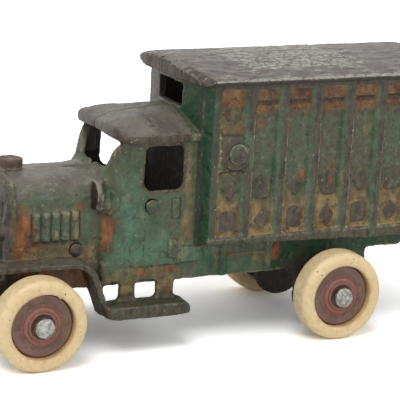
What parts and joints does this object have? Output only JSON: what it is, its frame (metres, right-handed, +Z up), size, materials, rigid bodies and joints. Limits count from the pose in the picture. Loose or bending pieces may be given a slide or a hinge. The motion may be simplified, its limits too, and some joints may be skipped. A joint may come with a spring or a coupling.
{
  "type": "toy delivery truck",
  "caption": "Cast iron toy box van: two riveted body castings, bare ribbed panel sides, open cab, and rubber tyred wheels that turn on peened axles.",
  "frame": {"origin": "on the ground, under the middle of the bounding box", "axes": "+Z up, the truck faces -Y, its left side is +X"},
  "size_m": [0.0568, 0.1412, 0.0787],
  "materials": {
    "green_paint_on_iron": "worn satin green paint over dark cast iron",
    "worn_cast_iron": "bare, dark brown, softly polished by wear",
    "peened_steel": "hammered ends",
    "maroon_hub_paint": "worn matt maroon paint",
    "cream_rubber": "aged, smooth, slightly glossy"
  },
  "bodies": {
    "body": {"left_body_half": "green_paint_on_iron", "right_body_half": "green_paint_on_iron", "hood_rivet": "worn_cast_iron", "cab_rivet": "green_paint_on_iron", "front_van_rivet": "green_paint_on_iron", "rear_van_rivet": "green_paint_on_iron"},
    "front_axle": {"front_axle": "peened_steel"},
    "rear_axle": {"rear_axle": "peened_steel"},
    "front_left_wheel": {"front_left_hub": "maroon_hub_paint", "front_left_tyre": "cream_rubber"},
    "front_right_wheel": {"front_right_hub": "maroon_hub_paint", "front_right_tyre": "cream_rubber"},
    "rear_left_wheel": {"rear_left_hub": "maroon_hub_paint", "rear_left_tyre": "cream_rubber"},
    "rear_right_wheel": {"rear_right_hub": "maroon_hub_paint", "rear_right_tyre": "cream_rubber"}
  },
  "joints": [
    {"name": "front_axle_spin", "type": "hinge", "parent": "body", "child": "front_axle", "pos_m": [0, -0.0548, 0.0127], "axis": [1, 0, 0], "continuous": true},
    {"name": "rear_axle_spin", "type": "hinge", "parent": "body", "child": "rear_axle", "pos_m": [0, 0.0352, 0.0127], "axis": [1, 0, 0], "continuous": true},
    {"name": "front_left_wheel_spin", "type": "hinge", "parent": "front_axle", "child": "front_left_wheel", "pos_m": [0.0232, -0.0548, 0.0127], "axis": [1, 0, 0], "continuous": true},
    {"name": "front_right_wheel_spin", "type": "hinge", "parent": "front_axle", "child": "front_right_wheel", "pos_m": [-0.0232, -0.0548, 0.0127], "axis": [1, 0, 0], "continuous": true},
    {"name": "rear_left_wheel_spin", "type": "hinge", "parent": "rear_axle", "child": "rear_left_wheel", "pos_m": [0.0232, 0.0352, 0.0127], "axis": [1, 0, 0], "continuous": true},
    {"name": "rear_right_wheel_spin", "type": "hinge", "parent": "rear_axle", "child": "rear_right_wheel", "pos_m": [-0.0232, 0.0352, 0.0127], "axis": [1, 0, 0], "continuous": true}
  ]
}
